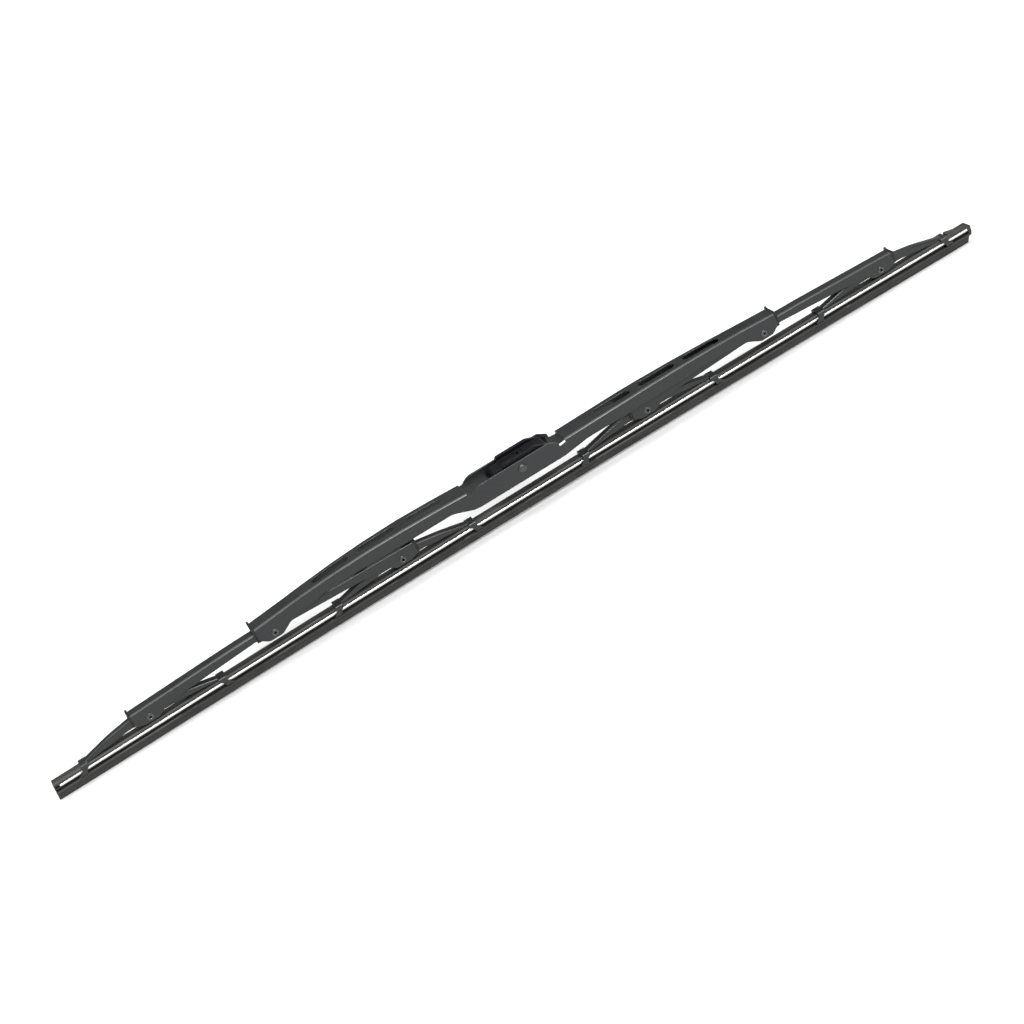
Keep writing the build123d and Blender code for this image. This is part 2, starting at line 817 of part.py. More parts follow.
def cross_pin():
    """Pin with a tenon and a peened head at each side plate."""
    seat = box_width / 2
    shoulder = seat - bridge_sheet - running_clearance
    half = [
        (0, seat + pin_head_height),
        (pin_head / 4, seat + pin_head_height),
        (pin_head / 2.4, seat + pin_head_height * 0.75),
        (pin_head / 2, seat + pin_head_height / 3),
        (pin_head / 2, seat),
        (tenon_diameter / 2, seat),
        (tenon_diameter / 2, shoulder),
        (pin_diameter / 2, shoulder),
    ]
    mirrored = [(c[0], -c[1], *c[2:]) for c in reversed(half)]
    return turned(half + mirrored, pin_offset, pin_height)


# Hook adapter, drawn about the pin
def across(diameter, half_length):
    """Round bar across the blade at the pin."""
    return Pos(0, 0, pin_height) * Rot(90, 0, 0) * Cylinder(diameter / 2, 2 * half_length)


def spring_tongue(body, top_z, root_x):
    """Cut a spring tongue free in a moulding's top and raise a bump on its tip."""
    tip_x = root_x - tongue_length
    half = tongue_width / 2
    slit_half = half + tongue_slit
    slit = [
        (tip_x - tongue_slit, -slit_half),
        (root_x, -slit_half),
        (root_x, -half),
        (tip_x, -half),
        (tip_x, half),
        (root_x, half),
        (root_x, slit_half),
        (tip_x - tongue_slit, slit_half),
    ]
    bump = [
        (tip_x, top_z - tongue_sink),
        (tip_x, top_z + tongue_bump),
        (tip_x + tongue_bump_top, top_z + tongue_bump),
        (tip_x + tongue_bump_length, top_z - tongue_sink),
    ]
    body -= plate_xy(slit, top_z - adapter_wall - tongue_sink, top_z + tongue_sink)
    return body + plate_xz(bump, -half, half)


def hook_adapter():
    """Moulding with two cheeks, a rounded nose for the hook, a clip for the pin and a spring tongue."""
    nose = hook_gap / 2
    z = pin_height
    half_width = box_width / 2 - bridge_sheet - adapter_side_clearance
    channel_half = half_width - cheek_thickness
    core_right = adapter_right_reach - core_setback
    core = [
        (-nose_reach, z - nose, nose),
        (-nose_reach, z + nose, nose),
        (core_right, z + nose, core_round),
        (core_right, z - nose, core_round),
    ]
    cheek = [
        (-cheek_left_reach, z - cheek_drop, cheek_round),
        (-cheek_left_reach, z + cheek_rise, cheek_round),
        (adapter_right_reach - cheek_fall_run, z + cheek_rise, cheek_fall_radius),
        (adapter_right_reach, z + cheek_rise - cheek_fall, cheek_round),
        (adapter_right_reach, z - cheek_drop, cheek_round),
    ]
    cavity_half = nose - adapter_wall
    cavity = [
        (nose_wall - nose_reach, z - cavity_half, cavity_half),
        (nose_wall - nose_reach, z + cavity_half, cavity_half),
        (core_right - adapter_wall, z + cavity_half),
        (core_right - adapter_wall, z - cavity_half),
    ]
    web = [
        (-clip_wall, z - nose),
        (clip_wall, z - nose),
        (clip_wall, z + nose),
        (-clip_wall, z + nose),
    ]
    mouth = [
        (-clip_mouth / 2, z - tall),
        (clip_mouth / 2, z - tall),
        (clip_mouth / 2, z),
        (-clip_mouth / 2, z),
    ]
    body = plate_xz(core, -channel_half - tongue_sink, channel_half + tongue_sink)
    body += plate_xz(cheek, channel_half, half_width)
    body += plate_xz(cheek, -half_width, -channel_half)
    body += across(thrust_pad_diameter, half_width + thrust_pad)
    cavity_side = channel_half - adapter_wall
    hollow = plate_xz(cavity, -cavity_side, cavity_side)
    hollow -= across(pin_diameter + 2 * clip_wall, channel_half)
    hollow -= plate_xz(web, -channel_half, channel_half)
    body -= hollow
    body -= across(pin_diameter + 2 * running_clearance, wide)
    body -= plate_xz(mouth, -wide, wide)
    body = spring_tongue(body, z + nose, core_right - tongue_root_setback)
    return Pos(pin_offset, 0, 0) * body


# The whole blade, node by node
right_lever = secondary_lever()
inner_yoke = yoke(inner_yoke_x, inner_yoke_z)
outer_yoke = yoke(outer_yoke_x, outer_yoke_z)
inner_rivet = eyelet(lever_width, inner_yoke_x, inner_yoke_z)
outer_rivet = eyelet(lever_width, outer_yoke_x, outer_yoke_z)
bridge_rivet = eyelet(bridge_end_width, bridge_pivot_x, bridge_pivot_z)
inner_liner = lever_liner(inner_yoke_x, inner_yoke_z, lever_inner_end)
outer_liner = lever_liner(outer_yoke_x, outer_yoke_z, lever_outer_end)

nodes = {
    "primary_bridge": primary_bridge(),
    "secondary_lever_left": left(right_lever),
    "secondary_lever_right": right_lever,
    "yoke_outer_left": left(outer_yoke),
    "yoke_inner_left": left(inner_yoke),
    "yoke_inner_right": inner_yoke,
    "yoke_outer_right": outer_yoke,
    "bridge_rivet_left": left(bridge_rivet),
    "bridge_rivet_right": bridge_rivet,
    "lever_rivet_outer_left": left(outer_rivet),
    "lever_rivet_inner_left": left(inner_rivet),
    "lever_rivet_inner_right": inner_rivet,
    "lever_rivet_outer_right": outer_rivet,
    "bridge_liner_left": left(bridge_liner(left_arm_top)),
    "bridge_liner_right": bridge_liner(right_arm_top),
    "lever_liner_outer_left": left(outer_liner),
    "lever_liner_inner_left": left(inner_liner),
    "lever_liner_inner_right": inner_liner,
    "lever_liner_outer_right": outer_liner,
    "cross_pin": cross_pin(),
    "hook_adapter": hook_adapter(),
    "wiper_rubber": wiper_rubber(),
    "backing_strip_front": backing_strip(-1),
    "backing_strip_back": backing_strip(1),
}

os.makedirs("parts", exist_ok=True)
to_pin = Pos(-pin_offset, 0, -pin_height)
for name, body in nodes.items():
    export_step(to_pin * body, f"parts/{name}.step")
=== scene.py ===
import json
import logging
import math
from abc import ABC, abstractmethod
from collections.abc import Callable
from dataclasses import dataclass
from enum import Enum

import bmesh
import bpy
from mathutils import Matrix, Vector


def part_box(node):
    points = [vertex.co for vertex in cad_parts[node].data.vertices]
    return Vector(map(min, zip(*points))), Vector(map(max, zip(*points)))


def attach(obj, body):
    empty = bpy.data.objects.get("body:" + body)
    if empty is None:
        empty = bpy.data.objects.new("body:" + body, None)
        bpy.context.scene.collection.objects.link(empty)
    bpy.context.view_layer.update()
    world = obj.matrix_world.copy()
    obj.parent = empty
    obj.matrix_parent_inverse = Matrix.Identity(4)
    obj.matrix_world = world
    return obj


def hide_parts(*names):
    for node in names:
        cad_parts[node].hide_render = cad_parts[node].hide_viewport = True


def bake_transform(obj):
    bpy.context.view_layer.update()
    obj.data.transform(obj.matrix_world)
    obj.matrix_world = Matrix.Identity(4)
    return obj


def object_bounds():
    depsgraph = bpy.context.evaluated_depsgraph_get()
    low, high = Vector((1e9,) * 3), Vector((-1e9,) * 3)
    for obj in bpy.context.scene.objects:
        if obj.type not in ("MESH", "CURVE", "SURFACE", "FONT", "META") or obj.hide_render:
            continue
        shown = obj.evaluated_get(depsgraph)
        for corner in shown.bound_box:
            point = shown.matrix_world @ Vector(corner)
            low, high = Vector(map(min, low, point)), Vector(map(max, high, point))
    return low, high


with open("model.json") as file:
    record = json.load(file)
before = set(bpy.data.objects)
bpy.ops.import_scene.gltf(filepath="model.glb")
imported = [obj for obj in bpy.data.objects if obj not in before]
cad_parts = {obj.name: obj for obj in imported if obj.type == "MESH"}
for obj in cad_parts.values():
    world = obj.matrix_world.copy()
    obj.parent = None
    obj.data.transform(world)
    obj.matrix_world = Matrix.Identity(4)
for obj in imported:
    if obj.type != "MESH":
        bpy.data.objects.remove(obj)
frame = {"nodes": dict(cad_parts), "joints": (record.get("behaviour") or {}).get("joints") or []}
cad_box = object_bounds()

LOG = logging.getLogger("wiper_blade")

# Places of a colour Mix node's sockets
MIX_FACTOR = 0
MIX_FIRST_COLOUR = 6
MIX_SECOND_COLOUR = 7
MIX_RESULT = 2

# Shared shader settings
NODE_SPACING = 200
BEVEL_SAMPLES = 6
BUMP_STRENGTH = 0.5
GRAIN_DETAIL = 3.0
LINE_DETAIL = 4.0
CLOUD_DETAIL = 4.0

# Spans that values are mapped from or to
WHOLE_SPAN = (0.0, 1.0)
NOISE_SPAN = (0.3, 0.7)
PATCH_SPAN = (0.35, 0.7)
PATCH_SHARE = (0.35, 1.0)
CLOUD_SPAN = (0.35, 0.75)
UPWARD_SPAN = (0.2, 1.0)

# Tolerances of mesh cuts, in metres
MERGE_DISTANCE = 1e-6
CUT_DISTANCE = 1e-7

Colour = tuple[float, float, float]
Span = tuple[float, float]


class Side(Enum):
    """A half of the blade, with its direction along X."""

    LEFT = -1
    RIGHT = 1

    @property
    def word(self) -> str:
        """The side's name as the frame's nodes and bodies spell it."""
        return self.name.lower()


class Slot(Enum):
    """The record's material slots."""

    FRAME_PAINT = "frame_paint"
    ZINC = "zinc"
    LINER_PLASTIC = "liner_plastic"
    ADAPTER_PLASTIC = "adapter_plastic"
    RUBBER = "rubber"
    STRIP_STEEL = "strip_steel"


class LeverEnd(Enum):
    """A secondary lever's two ends, as the nodes' names spell them."""

    OUTER = "outer"
    INNER = "inner"


class Effect(Enum):
    """The effects that several finishes share, by their node groups' names."""

    EDGE_WEAR = "edge_wear"
    FINE_GRAIN = "fine_grain"
    DRAWN_LINES = "drawn_lines"
    SETTLED_DUST = "settled_dust"


class Carrier(Enum):
    """The bodies that carry the wiping element or that it would bend towards, as patterns of their names."""

    BRIDGE = "bridge"
    LEVER = "lever_{side}"
    INNER_YOKE = "yoke_inner_{side}"
    OUTER_YOKE = "yoke_outer_{side}"

    def body(self, side: Side) -> str:
        """The body's name in the frame on one side."""
        return self.value.format(side=side.word)


def blade_middle() -> float:
    """The blade's middle.

    Returns:
        The place along X halfway between the two levers' pivots.
    """
    names = [f"lever_{side.word}_rock" for side in Side]
    pivots = [joint["pos_m"][0] for joint in frame["joints"] if joint["name"] in names]
    return sum(pivots) / len(pivots)


class Bench:
    """Adds and joins nodes in one shader tree."""

    def __init__(self, tree: bpy.types.NodeTree) -> None:
        """Takes a material's, a world's or a group's node tree to work on."""
        self.tree = tree
        self.column = 0

    def add(self, kind: str, **settings: object) -> bpy.types.Node:
        """Adds a node.

        Args:
            kind: The node's type, such as "ShaderNodeBump".
            settings: Attributes to set on the new node.

        Returns:
            The new node.
        """
        node = self.tree.nodes.new(kind)
        node.location = (self.column * NODE_SPACING, 0)
        self.column += 1
        for name, value in settings.items():
            setattr(node, name, value)
        return node

    def join(self, source: bpy.types.NodeSocket, target: bpy.types.NodeSocket) -> None:
        """Links an output to an input."""
        self.tree.links.new(source, target)

    def feed(self, target: bpy.types.NodeSocket, value: bpy.types.NodeSocket | float) -> None:
        """Links an output to an input, or sets the input to a number.

        Args:
            target: The input.
            value: An output or a plain number.
        """
        if isinstance(value, bpy.types.NodeSocket):
            self.join(value, target)
        else:
            target.default_value = value

    def reckon(
        self,
        operation: str,
        first: bpy.types.NodeSocket | float,
        second: bpy.types.NodeSocket | float,
    ) -> bpy.types.NodeSocket:
        """Adds a Math node.

        Args:
            operation: The node's operation, such as "MULTIPLY".
            first: The first value.
            second: The second value.

        Returns:
            The node's output.
        """
        node = self.add("ShaderNodeMath", operation=operation)
        self.feed(node.inputs[0], first)
        self.feed(node.inputs[1], second)
        return node.outputs[0]

    def spread(
        self,
        value: bpy.types.NodeSocket,
        source: Span,
        target: Span,
    ) -> bpy.types.NodeSocket:
        """Adds a clamped Map Range node.

        Args:
            value: The value to map.
            source: The range that it comes from.
            target: The range that it goes to.

        Returns:
            The node's output.
        """
        node = self.add("ShaderNodeMapRange")
        self.join(value, node.inputs["Value"])
        node.inputs["From Min"].default_value = source[0]
        node.inputs["From Max"].default_value = source[1]
        node.inputs["To Min"].default_value = target[0]
        node.inputs["To Max"].default_value = target[1]
        return node.outputs["Result"]

    def mix(
        self,
        factor: bpy.types.NodeSocket,
        first: bpy.types.NodeSocket | Colour,
        second: Colour,
    ) -> bpy.types.NodeSocket:
        """Adds a colour Mix node.

        Args:
            factor: The second colour's share.
            first: The first colour.
            second: The second colour.

        Returns:
            The mixed colour.
        """
        node = self.add("ShaderNodeMix", data_type="RGBA")
        self.join(factor, node.inputs[MIX_FACTOR])
        if isinstance(first, bpy.types.NodeSocket):
            self.join(first, node.inputs[MIX_FIRST_COLOUR])
        else:
            node.inputs[MIX_FIRST_COLOUR].default_value = (*first, 1.0)
        node.inputs[MIX_SECOND_COLOUR].default_value = (*second, 1.0)
        return node.outputs[MIX_RESULT]


class Effects:
    """The shared effects, each a node group that is built once, when it is first placed."""

    def __init__(self) -> None:
        """Starts with no group built."""
        self.built: dict[Effect, bpy.types.NodeTree] = {}
        self.makers: dict[Effect, Callable[[], None]] = {
            Effect.EDGE_WEAR: self.edge_wear,
            Effect.FINE_GRAIN: self.fine_grain,
            Effect.DRAWN_LINES: self.drawn_lines,
            Effect.SETTLED_DUST: self.settled_dust,
        }

    def _start(
        self, effect: Effect, inputs: dict[str, float], outputs: dict[str, str]
    ) -> tuple[Bench, bpy.types.Node, bpy.types.Node]:
        """Makes a group with its sockets.

        Args:
            effect: The effect.
            inputs: Each input's name and usual value.
            outputs: Each output's name and socket type.

        Returns:
            The bench for the group's tree, its input node and its output node.
        """
        tree = bpy.data.node_groups.new(effect.value, "ShaderNodeTree")
        for label, value in inputs.items():
            socket = tree.interface.new_socket(name=label, in_out="INPUT", socket_type="NodeSocketFloat")
            socket.default_value = value
        for label, kind in outputs.items():
            tree.interface.new_socket(name=label, in_out="OUTPUT", socket_type=kind)
        self.built[effect] = tree
        bench = Bench(tree)
        return bench, bench.add("NodeGroupInput"), bench.add("NodeGroupOutput")

    def place(self, bench: Bench, effect: Effect, **values: float) -> bpy.types.Node:
        """Puts an effect's group into a material.

        Args:
            bench: The material's bench.
            effect: The effect.
            values: The group's inputs, by their names.

        Returns:
            The group node.
        """
        if effect not in self.built:
            self.makers[effect]()
        node = bench.add("ShaderNodeGroup", node_tree=self.built[effect])
        for label, value in values.items():
            node.inputs[label].default_value = value
        return node

    def edge_wear(self) -> None:
        """Rounded normals along hard edges, and a broken mask along those edges, which lays rubbing marks
        and painted highlights.
        """
        bench, given, result = self._start(
            Effect.EDGE_WEAR,
            {"radius": 0.0002, "gain": 3.0, "patch_scale": 400.0},
            {"mask": "NodeSocketFloat", "normal": "NodeSocketVector"},
        )
        rounded = bench.add("ShaderNodeBevel", samples=BEVEL_SAMPLES)
        bench.join(given.outputs["radius"], rounded.inputs["Radius"])
        surface = bench.add("ShaderNodeNewGeometry")
        likeness = bench.add("ShaderNodeVectorMath", operation="DOT_PRODUCT")
        bench.join(rounded.outputs["Normal"], likeness.inputs[0])
        bench.join(surface.outputs["Normal"], likeness.inputs[1])
        turned = bench.reckon("SUBTRACT", 1.0, likeness.outputs["Value"])
        place = bench.add("ShaderNodeTexCoord")
        patches = bench.add("ShaderNodeTexNoise")
        bench.join(place.outputs["Object"], patches.inputs["Vector"])
        bench.join(given.outputs["patch_scale"], patches.inputs["Scale"])
        broken = bench.spread(patches.outputs["Fac"], PATCH_SPAN, PATCH_SHARE)
        # The edge mask lays rubbing marks and painted highlights alike.
        raised = bench.reckon("MULTIPLY", turned, given.outputs["gain"])
        mask = bench.add("ShaderNodeMath", operation="MULTIPLY", use_clamp=True)
        bench.join(raised, mask.inputs[0])
        bench.join(broken, mask.inputs[1])
        bench.join(mask.outputs[0], result.inputs["mask"])
        bench.join(rounded.outputs["Normal"], result.inputs["normal"])

    def fine_grain(self) -> None:
        """An even fine grain, as a height, with a slow mottle beside it."""
        bench, given, result = self._start(
            Effect.FINE_GRAIN,
            {"grain_scale": 2500.0, "mottle_scale": 60.0},
            {"height": "NodeSocketFloat", "mottle": "NodeSocketFloat"},
        )
        place = bench.add("ShaderNodeTexCoord")
        for label, output in (("grain_scale", "height"), ("mottle_scale", "mottle")):
            noise = bench.add("ShaderNodeTexNoise")
            noise.inputs["Detail"].default_value = GRAIN_DETAIL
            bench.join(place.outputs["Object"], noise.inputs["Vector"])
            bench.join(given.outputs[label], noise.inputs["Scale"])
            bench.join(noise.outputs["Fac"], result.inputs[output])

    def drawn_lines(self) -> None:
        """Fine lines along the blade, as rolled or extruded stock has, as a height."""
        bench, given, result = self._start(
            Effect.DRAWN_LINES,
            {"line_scale": 3000.0, "run_scale": 12.0},
            {"height": "NodeSocketFloat"},
        )
        place = bench.add("ShaderNodeTexCoord")
        stretch = bench.add("ShaderNodeCombineXYZ")
        bench.join(given.outputs["run_scale"], stretch.inputs["X"])
        bench.join(given.outputs["line_scale"], stretch.inputs["Y"])
        bench.join(given.outputs["line_scale"], stretch.inputs["Z"])
        scaled = bench.add("ShaderNodeVectorMath", operation="MULTIPLY")
        bench.join(place.outputs["Object"], scaled.inputs[0])
        bench.join(stretch.outputs["Vector"], scaled.inputs[1])
        noise = bench.add("ShaderNodeTexNoise")
        noise.inputs["Scale"].default_value = 1.0
        noise.inputs["Detail"].default_value = LINE_DETAIL
        bench.join(scaled.outputs["Vector"], noise.inputs["Vector"])
        bench.join(noise.outputs["Fac"], result.inputs["height"])

    def settled_dust(self) -> None:
        """A thin uneven film of dust on what faces up, as a mask."""
        bench, given, result = self._start(
            Effect.SETTLED_DUST,
            {"amount": 0.1, "cloud_scale": 90.0},
            {"mask": "NodeSocketFloat"},
        )
        surface = bench.add("ShaderNodeNewGeometry")
        parts = bench.add("ShaderNodeSeparateXYZ")
        bench.join(surface.outputs["Normal"], parts.inputs["Vector"])
        facing = bench.spread(parts.outputs["Z"], UPWARD_SPAN, WHOLE_SPAN)
        place = bench.add("ShaderNodeTexCoord")
        clouds = bench.add("ShaderNodeTexNoise")
        clouds.inputs["Detail"].default_value = CLOUD_DETAIL
        bench.join(place.outputs["Object"], clouds.inputs["Vector"])
        bench.join(given.outputs["cloud_scale"], clouds.inputs["Scale"])
        uneven = bench.spread(clouds.outputs["Fac"], CLOUD_SPAN, WHOLE_SPAN)
        film = bench.reckon("MULTIPLY", facing, uneven)
        bench.join(bench.reckon("MULTIPLY", film, given.outputs["amount"]), result.inputs["mask"])


@dataclass(frozen=True)
class Finish(ABC):
    """A surface finish that makes one material.

    Attributes:
        slot: The record's material slot.
        colour: The plain surface's colour.
        roughness: The least and greatest roughness.
    """

    slot: Slot
    colour: Colour
    roughness: Span

    def material(self, effects: Effects) -> bpy.types.Material:
        """Makes the material.

        Args:
            effects: The shared effects.

        Returns:
            The material.
        """
        made = bpy.data.materials.new(self.slot.value)
        made.use_nodes = True
        made.node_tree.nodes.clear()
        bench = Bench(made.node_tree)
        shader = bench.add("ShaderNodeBsdfPrincipled")
        output = bench.add("ShaderNodeOutputMaterial")
        bench.join(shader.outputs["BSDF"], output.inputs["Surface"])
        self.dress(bench, shader, effects)
        return made

    @abstractmethod
    def dress(self, bench: Bench, shader: bpy.types.Node, effects: Effects) -> None:
        """Sets up the shader.

        Args:
            bench: The material's bench.
            shader: The Principled shader.
            effects: The shared effects.
        """

    @staticmethod
    def relief(
        bench: Bench,
        shader: bpy.types.Node,
        height: bpy.types.NodeSocket,
        depth: float,
        normal: bpy.types.NodeSocket | None = None,
    ) -> None:
        """Gives the shader a bumped normal.

        Args:
            bench: The material's bench.
            shader: The Principled shader.
            height: The bump's height.
            depth: The bump's depth, in metres.
            normal: The normal to start from, if not the surface's own.
        """
        bump = bench.add("ShaderNodeBump")
        bump.inputs["Strength"].default_value = BUMP_STRENGTH
        bump.inputs["Distance"].default_value = depth
        bench.join(height, bump.inputs["Height"])
        if normal is not None:
            bench.join(normal, bump.inputs["Normal"])
        bench.join(bump.outputs["Normal"], shader.inputs["Normal"])


@dataclass(frozen=True)
class SheetPaint(Finish):
    """Satin black electro-coat on pressed steel, lighter along its edges, partly where the coat runs thinner
    and partly as a painted highlight on bends and sheared edges.

    Attributes:
        mottle: The colour of the coat's lighter clouds.
        rubbed: The colour along edges, partly thinner coat and partly a painted highlight.
        dust: The colour of settled dust.
        gloss: The shader's specular level.
        edge: The radius of the coat over a sheared edge, which also sets how far the lighter edge colour
            reaches, in metres.
    """

    mottle: Colour
    rubbed: Colour
    dust: Colour
    gloss: float
    edge: float

    def dress(self, bench: Bench, shader: bpy.types.Node, effects: Effects) -> None:
        """Sets up the shader.

        Args:
            bench: The material's bench.
            shader: The Principled shader.
            effects: The shared effects.
        """
        grain = effects.place(bench, Effect.FINE_GRAIN, grain_scale=2200.0, mottle_scale=45.0)
        rub_and_highlight = effects.place(bench, Effect.EDGE_WEAR, radius=self.edge, gain=2.2, patch_scale=350.0)
        film = effects.place(bench, Effect.SETTLED_DUST, amount=0.1, cloud_scale=70.0)
        coat = bench.mix(grain.outputs["mottle"], self.colour, self.mottle)
        dusty = bench.mix(film.outputs["mask"], coat, self.dust)
        # Painted highlight along edges, partly standing for thinner coat.
        bench.join(bench.mix(rub_and_highlight.outputs["mask"], dusty, self.rubbed), shader.inputs["Base Color"])
        satin = bench.spread(grain.outputs["mottle"], NOISE_SPAN, self.roughness)
        bench.join(satin, shader.inputs["Roughness"])
        shader.inputs["Specular IOR Level"].default_value = self.gloss
        self.relief(bench, shader, grain.outputs["height"], depth=0.00002, normal=rub_and_highlight.outputs["normal"])


@dataclass(frozen=True)
class EyeletZinc(Finish):
    """Dark zinc on riveted pieces, lighter at the rims, partly from rubbing and partly as a painted
    highlight.

    Attributes:
        bright: The colour at the rims, partly zinc polished by rubbing and partly a painted highlight.
        metal: How far the zinc reflects as bare metal does.
        edge: The rims' radius, in metres.
    """

    bright: Colour
    metal: float
    edge: float

    def dress(self, bench: Bench, shader: bpy.types.Node, effects: Effects) -> None:
        """Sets up the shader.

        Args:
            bench: The material's bench.
            shader: The Principled shader.
            effects: The shared effects.
        """
        grain = effects.place(bench, Effect.FINE_GRAIN, grain_scale=3000.0, mottle_scale=500.0)
        rub_and_highlight = effects.place(bench, Effect.EDGE_WEAR, radius=self.edge, gain=4.0, patch_scale=900.0)
        # Painted highlight at the rims, partly standing for zinc polished by rubbing.
        rims_rub_and_highlight = bench.mix(rub_and_highlight.outputs["mask"], self.colour, self.bright)
        bench.join(rims_rub_and_highlight, shader.inputs["Base Color"])
        dull = bench.spread(grain.outputs["mottle"], NOISE_SPAN, self.roughness)
        bench.join(dull, shader.inputs["Roughness"])
        shader.inputs["Metallic"].default_value = self.metal
        self.relief(bench, shader, grain.outputs["height"], depth=0.00001, normal=rub_and_highlight.outputs["normal"])


@dataclass(frozen=True)
class MouldedPlastic(Finish):
    """Black moulded plastic with a fine spark-eroded skin.

    Attributes:
        scuffed: The colour along scuffed edges.
        gloss: The shader's specular level.
        edge: The moulding's corner radius, in metres.
    """

    scuffed: Colour
    gloss: float
    edge: float

    def dress(self, bench: Bench, shader: bpy.types.Node, effects: Effects) -> None:
        """Sets up the shader.

        Args:
            bench: The material's bench.
            shader: The Principled shader.
            effects: The shared effects.
        """
        grain = effects.place(bench, Effect.FINE_GRAIN, grain_scale=4000.0, mottle_scale=120.0)
        rub_and_highlight = effects.place(bench, Effect.EDGE_WEAR, radius=self.edge, gain=1.2, patch_scale=500.0)
        skin = bench.mix(rub_and_highlight.outputs["mask"], self.colour, self.scuffed)
        bench.join(skin, shader.inputs["Base Color"])
        sheen = bench.spread(grain.outputs["mottle"], NOISE_SPAN, self.roughness)
        bench.join(sheen, shader.inputs["Roughness"])
        shader.inputs["Specular IOR Level"].default_value = self.gloss
        self.relief(bench, shader, grain.outputs["height"], depth=0.00003, normal=rub_and_highlight.outputs["normal"])


@dataclass(frozen=True)
class WipingRubber(Finish):
    """Matt rubber with extrusion lines and a faint chalky bloom.

    Attributes:
        bloom: The colour of the bloom.
        bloom_span: The span of the mottle over which the bloom comes in.
        gloss: The shader's specular level.
    """

    bloom: Colour
    bloom_span: Span
    gloss: float

    def dress(self, bench: Bench, shader: bpy.types.Node, effects: Effects) -> None:
        """Sets up the shader.

        Args:
            bench: The material's bench.
            shader: The Principled shader.
            effects: The shared effects.
        """
        lines = effects.place(bench, Effect.DRAWN_LINES, line_scale=2500.0, run_scale=25.0)
        grain = effects.place(bench, Effect.FINE_GRAIN, grain_scale=1500.0, mottle_scale=80.0)
        chalk = bench.spread(grain.outputs["mottle"], self.bloom_span, WHOLE_SPAN)
        bench.join(bench.mix(chalk, self.colour, self.bloom), shader.inputs["Base Color"])
        matt = bench.spread(lines.outputs["height"], NOISE_SPAN, self.roughness)
        bench.join(matt, shader.inputs["Roughness"])
        shader.inputs["Specular IOR Level"].default_value = self.gloss
        self.relief(bench, shader, lines.outputs["height"], depth=0.00003)


@dataclass(frozen=True)
class RolledSteel(Finish):
    """Bright stainless strip with rolling lines.

    Attributes:
        dull: The colour of the duller lines.
        dull_span: The span of the lines' height over which they grow duller.
    """

    dull: Colour
    dull_span: Span

    def dress(self, bench: Bench, shader: bpy.types.Node, effects: Effects) -> None:
        """Sets up the shader.

        Args:
            bench: The material's bench.
            shader: The Principled shader.
            effects: The shared effects.
        """
        lines = effects.place(bench, Effect.DRAWN_LINES, line_scale=6000.0, run_scale=8.0)
        streak = bench.spread(lines.outputs["height"], self.dull_span, WHOLE_SPAN)
        bench.join(bench.mix(streak, self.colour, self.dull), shader.inputs["Base Color"])
        brushed = bench.spread(lines.outputs["height"], NOISE_SPAN, self.roughness)
        bench.join(brushed, shader.inputs["Roughness"])
        shader.inputs["Metallic"].default_value = 1.0
        self.relief(bench, shader, lines.outputs["height"], depth=0.000004)


class Wardrobe:
    """Holds one material for each finish and dresses pieces with it."""

    def __init__(self, finishes: list[Finish]) -> None:
        """Makes the materials from the finishes, one for each slot."""
        effects = Effects()
        self.materials = {finish.slot: finish.material(effects) for finish in finishes}

    def dress_node(self, name: str, slot: Slot) -> None:
        """Gives a node of the frame the material of a slot."""
        self._paint(frame["nodes"][name], slot)

    def dress_piece(self, piece: bpy.types.Object, slot: Slot) -> None:
        """Gives a new piece the material of a slot."""
        self._paint(piece, slot)

    def _paint(self, piece: bpy.types.Object, slot: Slot) -> None:
        """Replaces all of an object's materials by one.

        Args:
            piece: The object.
            slot: The material's slot.
        """
        piece.data.materials.clear()
        piece.data.materials.append(self.materials[slot])
        LOG.info("%s wears %s", piece.name, slot.value)


@dataclass
class Bridge:
    """The primary bridge with its cross pin, end rivets and liners.

    Attributes:
        sheet: The pressed channel's node.
        pin: The cross pin's node.
    """

    sheet: str = "primary_bridge"
    pin: str = "cross_pin"

    def dress(self, wardrobe: Wardrobe) -> None:
        """Dresses the bridge's pieces.

        Args:
            wardrobe: The materials.
        """
        wardrobe.dress_node(self.sheet, Slot.FRAME_PAINT)
        wardrobe.dress_node(self.pin, Slot.ZINC)
        for side in Side:
            wardrobe.dress_node(f"bridge_rivet_{side.word}", Slot.ZINC)
            wardrobe.dress_node(f"bridge_liner_{side.word}", Slot.LINER_PLASTIC)


@dataclass
class LeverTree:
    """One side's secondary lever with its two yokes, rivets and liners.

    Attributes:
        side: The half of the blade.
    """

    side: Side

    def dress(self, wardrobe: Wardrobe) -> None:
        """Dresses the lever's pieces.

        Args:
            wardrobe: The materials.
        """
        wardrobe.dress_node(f"secondary_lever_{self.side.word}", Slot.FRAME_PAINT)
        for end in LeverEnd:
            wardrobe.dress_node(f"yoke_{end.value}_{self.side.word}", Slot.FRAME_PAINT)
            wardrobe.dress_node(f"lever_rivet_{end.value}_{self.side.word}", Slot.ZINC)
            wardrobe.dress_node(f"lever_liner_{end.value}_{self.side.word}", Slot.LINER_PLASTIC)


@dataclass
class Adapter:
    """The moulded adapter that takes the wiper arm's hook.

    Attributes:
        moulding: The adapter's node.
    """

    moulding: str = "hook_adapter"

    def dress(self, wardrobe: Wardrobe) -> None:
        """Dresses the moulding."""
        wardrobe.dress_node(self.moulding, Slot.ADAPTER_PLASTIC)


@dataclass(frozen=True)
class Stretch:
    """A length of the wiping element that moves in one way, by distances from the blade's middle.

    Attributes:
        name: The stretch's name.
        near: Where it begins.
        far: Where it ends.
        holder: The body that it follows, where it is held straight.
        other: The body that it would bend towards, or None where it is held straight; a stretch with one is
            scored more finely and hung on no body.
        start: Where it would follow its holder alone; not used.
        end: Where it would follow the other body alone; not used.
    """

    name: str
    near: float
    far: float
    holder: Carrier
    other: Carrier | None = None
    start: float = 0.0
    end: float = 0.0


